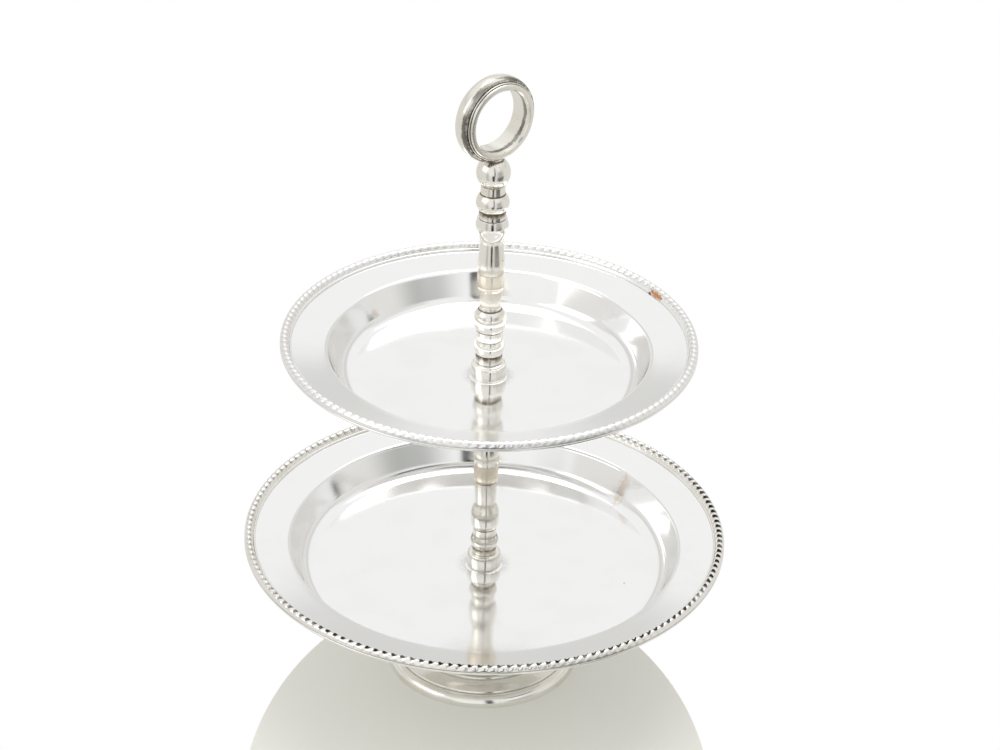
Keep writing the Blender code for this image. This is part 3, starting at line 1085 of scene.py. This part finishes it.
@dataclass
class Handle:
    """The screw-on handle: its sleeve, ball and ring."""

    bench: Bench
    floor: float
    ball_height: float = 127.5
    ball_radius: float = 9.5
    ball_foot: float = 119.7
    ring_height: float = 159.5
    bore: float = 18.0
    half_width: float = 7.4

    def build_sleeve(self) -> None:
        """Turn the sleeve, hollow for its threaded insert."""
        runs = (((0.0, 119.75), (6.7, 119.75)), ((6.7, 119.6), (6.75, 117.2), (6.9, 114.9)),
                ((7.2, 114.5), (8.5, 112.6), (9.3, 109.6), (8.6, 106.8), (7.5, 105.0)),
                ((7.4, 104.7), (7.5, 100.2)))
        outline = [point for run in runs for point in flow(run)]
        outline = outline + [(5.5, 100.2), (5.5, 112.9), (0.0, 112.9)]
        outline = soften(outline, 0.16, closed=False)
        piece = self.bench.turn("grip_sleeve", outline, self.floor, Finish.COLUMN, closed=False)
        settle(piece, "handle", Finish.COLUMN, "handle_sleeve")

    def build_ball(self) -> None:
        """Turn the ball, with the neck of solder that runs up into the ring."""
        low = math.asin((self.ball_foot - self.ball_height) / self.ball_radius)
        high = math.radians(50.0)
        sphere = arc((0.0, self.ball_height), (self.ball_radius, self.ball_radius), high, low - high, 60)
        crown = flow([(0.0, 137.4), (4.2, 136.9), (5.2, 135.6), (5.6, 135.1)], 6)
        outline = crown + sphere + [(0.0, self.ball_foot)]
        piece = self.bench.turn("grip_ball", outline, self.floor, Finish.COLUMN, closed=False)
        settle(piece, "handle", Finish.COLUMN, "handle_ball")

    def ring_half(self) -> Outline:
        """Draw half of the ring's section, from the bore's chamfer to the crest.

        Returns:
            The section's points.
        """
        face = [(18.75, 7.4), (20.5, 7.4)]
        shoulder = flow([(20.9, 7.3), (21.4, 6.7), (21.5, 6.25)], 4)
        thin_bead = flow([(21.65, 6.1), (22.15, 5.95), (22.3, 5.6), (22.1, 5.3)], 4)
        ridge = flow([(22.3, 5.05), (23.2, 4.75), (23.9, 3.9), (24.35, 2.5), (24.57, 0.9), (24.57, 0.0)], 6)
        return face + shoulder + thin_bead + ridge

    def build_ring(self) -> None:
        """Turn the ring and stand it up with its bore along Y."""
        half = self.ring_half()
        other = [(reach, -side) for reach, side in reversed(half[:-1])]
        bore = [(self.bore, -self.half_width + 0.75), (self.bore, self.half_width - 0.75)]
        outline = soften(half + other + bore, 0.18, closed=True)
        piece = self.bench.turn("grip_ring", outline, 0.0, Finish.RING, 224)
        upright = Matrix.Rotation(math.pi / 2, 4, "X")
        lift = Matrix.Translation((0.0, 0.0, (self.floor + self.ring_height) * MM))
        piece.data.transform(lift @ upright)
        settle(piece, "handle", Finish.RING, "handle_ring")

    def build(self) -> None:
        """Make the handle's pieces and finish its hidden insert."""
        self.build_sleeve()
        self.build_ball()
        self.build_ring()
        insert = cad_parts["handle_insert"]
        insert.data.materials.clear()
        insert.data.materials.append(self.bench.material(Finish.STEEL))
        LOG.info("handle_insert keeps its solid, in %s", Finish.STEEL.value.slot)


# --- Studio ---

@dataclass(frozen=True)
class Panel:
    """A darker or brighter part of the studio's white tent, as the polished metal sees it."""

    turn: float  # degrees to the right of the camera, seen from the stand
    half_width: float
    low: float  # degrees above the table
    high: float
    level: float
    tint: Colour = (1.0, 1.0, 1.0)
    softness: float = 5.0


WARM, GREENISH = (1.0, 0.99, 0.965), (0.98, 1.0, 0.96)
PALE = (0.62, 0.615, 0.57, 1.0)
TENT = (
    Panel(0.0, 200.0, -90.0, 90.0, 0.95),
    Panel(0.0, 200.0, -80.0, -4.0, 0.80, WARM, 10.0),
    *(Panel(side * 115.0, 60.0, -10.0, 21.0, 0.80, WARM, 12.0) for side in (1, -1)),
    *(Panel(side * 82.0, 30.0, -10.0, 40.0, 0.80, WARM, 9.0) for side in (1, -1)),
    *(Panel(side * 145.0, 45.0, 17.0, 26.0, 0.71, (1.0, 0.995, 0.975), 4.0) for side in (1, -1)),
    Panel(50.0, 21.0, -70.0, -12.0, 0.16, GREENISH, 14.0),
    Panel(46.0, 18.0, -12.0, 20.0, 0.46, GREENISH, 24.0),
    Panel(-38.0, 9.0, -70.0, 10.0, 0.55, (1.0, 0.99, 0.97), 12.0),
    Panel(11.0, 4.0, -4.0, 50.0, 0.03, softness=3.0),
    Panel(3.0, 8.0, -70.0, -4.0, 0.012, softness=3.0),
)


@dataclass
class Studio:
    """A pale floor, a white tent of light and the camera."""

    azimuth: float = -39.0  # degrees of the camera round the stand from -Y
    pitch: float = 29.94  # degrees that it looks down
    roll: float = 1.57  # degrees that it leans
    lens: float = 101.2
    distance: float = 1.5917  # metres from its aim point
    aim_height: float = 0.19179
    aim_side: float = 0.00654  # metres that it aims to the right of the axis
    table: tuple[float, float, float] = (0.131, 0.200, 0.129)  # half width, half depth, way forward

    def facing(self) -> Matrix:
        """Give the turn from a camera at -Y to this one."""
        return Matrix.Rotation(math.radians(self.azimuth), 4, "Z")

    def build_camera(self) -> None:
        """Set the camera up."""
        data = bpy.data.cameras.new("camera")
        data.lens = self.lens
        data.sensor_width = 36.0
        data.clip_end = 20.0
        camera = hang("camera", data)
        aim = Matrix.Translation((self.aim_side, 0.0, self.aim_height))
        tilt = Matrix.Rotation(math.radians(90.0 - self.pitch), 4, "X")
        lean = Matrix.Rotation(math.radians(self.roll), 4, "Z")
        back = Matrix.Translation((0.0, 0.0, self.distance))
        camera.matrix_world = self.facing() @ aim @ tilt @ back @ lean
        bpy.context.scene.camera = camera

    def build_floor(self) -> None:
        """Lay a plain pale oval table top, which reaches out towards the camera and glows a little, painted
        light that lifts the shadows on it.
        """
        width, depth, ahead = self.table
        edge = arc((0.0, -ahead), (width, depth), 0.0, math.tau, EDGE_STEPS)[:-1]
        spots = [self.facing() @ Vector((*spot, 0.0)) for spot in edge]
        mesh = bpy.data.meshes.new("table_top")
        mesh.from_pydata(spots, [], [tuple(range(len(spots)))])
        floor = hang("table_top", mesh)
        material = bpy.data.materials.new("pale_glowing_table")
        material.use_nodes = True
        shader = material.node_tree.nodes["Principled BSDF"]
        # The emission is painted light: the table top glows to lighten the shadows that the stand casts on
        # it.
        for name, value in (("Base Color", PALE), ("Roughness", 0.6), ("Specular IOR Level", 0.15),
                            ("Emission Color", PALE), ("Emission Strength", 0.35)):
            shader.inputs[name].default_value = value
        mesh.materials.append(material)

    def build_tent(self) -> None:
        """Paint the tent that the metal reflects. The camera itself sees plain white."""
        world = bpy.data.worlds.new("white_tent")
        bpy.context.scene.world = world
        world.use_nodes = True
        graph = Graph(world.node_tree)
        calc, step = graph.calc, graph.step
        sight = graph.add("ShaderNodeTexCoord").outputs["Generated"]
        turned = graph.add("ShaderNodeVectorRotate", {"Vector": sight, "Angle": -math.radians(self.azimuth)},
                           rotation_type="Z_AXIS")
        parts = graph.add("ShaderNodeSeparateXYZ", {0: turned.outputs[0]})
        turn = calc("DEGREES", calc("ARCTAN2", parts.outputs[0], calc("*", parts.outputs[1], -1.0)))
        rise = calc("DEGREES", calc("ARCSINE", parts.outputs[2]))
        colour: object = (1.0, 1.0, 1.0, 1.0)
        for panel in TENT:
            away = calc("ABSOLUTE", calc("-", turn, panel.turn))
            soft = panel.softness / 2
            amount = calc("*", step(away, panel.half_width + soft, panel.half_width - soft),
                          step(rise, panel.low - soft, panel.low + soft))
            amount = calc("*", amount, step(rise, panel.high + soft, panel.high - soft))
            shade = tuple(panel.level * channel for channel in panel.tint)
            colour = graph.mix(amount, colour, (*shade, 1.0))
        seen = graph.add("ShaderNodeLightPath").outputs["Is Camera Ray"]
        background = world.node_tree.nodes["Background"]
        graph.feed(graph.mix(seen, colour, (1.0, 1.0, 1.0, 1.0)), background.inputs["Color"])
        background.inputs["Strength"].default_value = 1.0

    def build_lights(self) -> None:
        """Hang one large soft light overhead and one weaker one at the left."""
        for name, energy, size, place in (("overhead", 12.0, 1.6, (0.15, 0.5, 2.0)),
                                          ("left_fill", 4.0, 1.2, (-1.5, -0.6, 1.2))):
            data = bpy.data.lights.new(name, "AREA")
            data.energy = energy
            data.size = size
            lamp = hang(name, data)
            spot = self.facing() @ Vector(place)
            lamp.matrix_world = (Matrix.Translation(spot)
                                 @ (-spot).to_track_quat("-Z", "Y").to_matrix().to_4x4())

    def build(self) -> None:
        """Set the whole studio up."""
        bpy.context.scene.view_settings.view_transform = "Standard"
        self.build_camera()
        self.build_floor()
        self.build_tent()
        self.build_lights()


def main() -> None:
    """Build the stand from the table up and report each piece."""
    logging.basicConfig(level=logging.INFO, format="%(name)s: %(message)s", stream=sys.stdout)
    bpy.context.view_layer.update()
    Studio().build()
    bench = Bench()
    sheet = 1.2
    lower_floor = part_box("lower_plate")[0][2] / MM + sheet
    upper_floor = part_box("upper_plate")[0][2] / MM + sheet
    Foot(bench).build()
    Plate(bench, "lower", "lower_tier", 140.0, lower_floor, 162, 0.50, 0.60,
          Finish.LOWER_WELL, Finish.LOWER_BORDER).build()
    Column(bench, LOWER_SLEEVES, lower_floor).build()
    Plate(bench, "upper", "upper_tier", 117.5, upper_floor, 144, 0.30, 0.05,
          Finish.PLATE, Finish.UPPER_BORDER).build()
    Column(bench, UPPER_SLEEVES, upper_floor).build()
    Handle(bench, upper_floor).build()


if __name__ == "__main__":
    main()
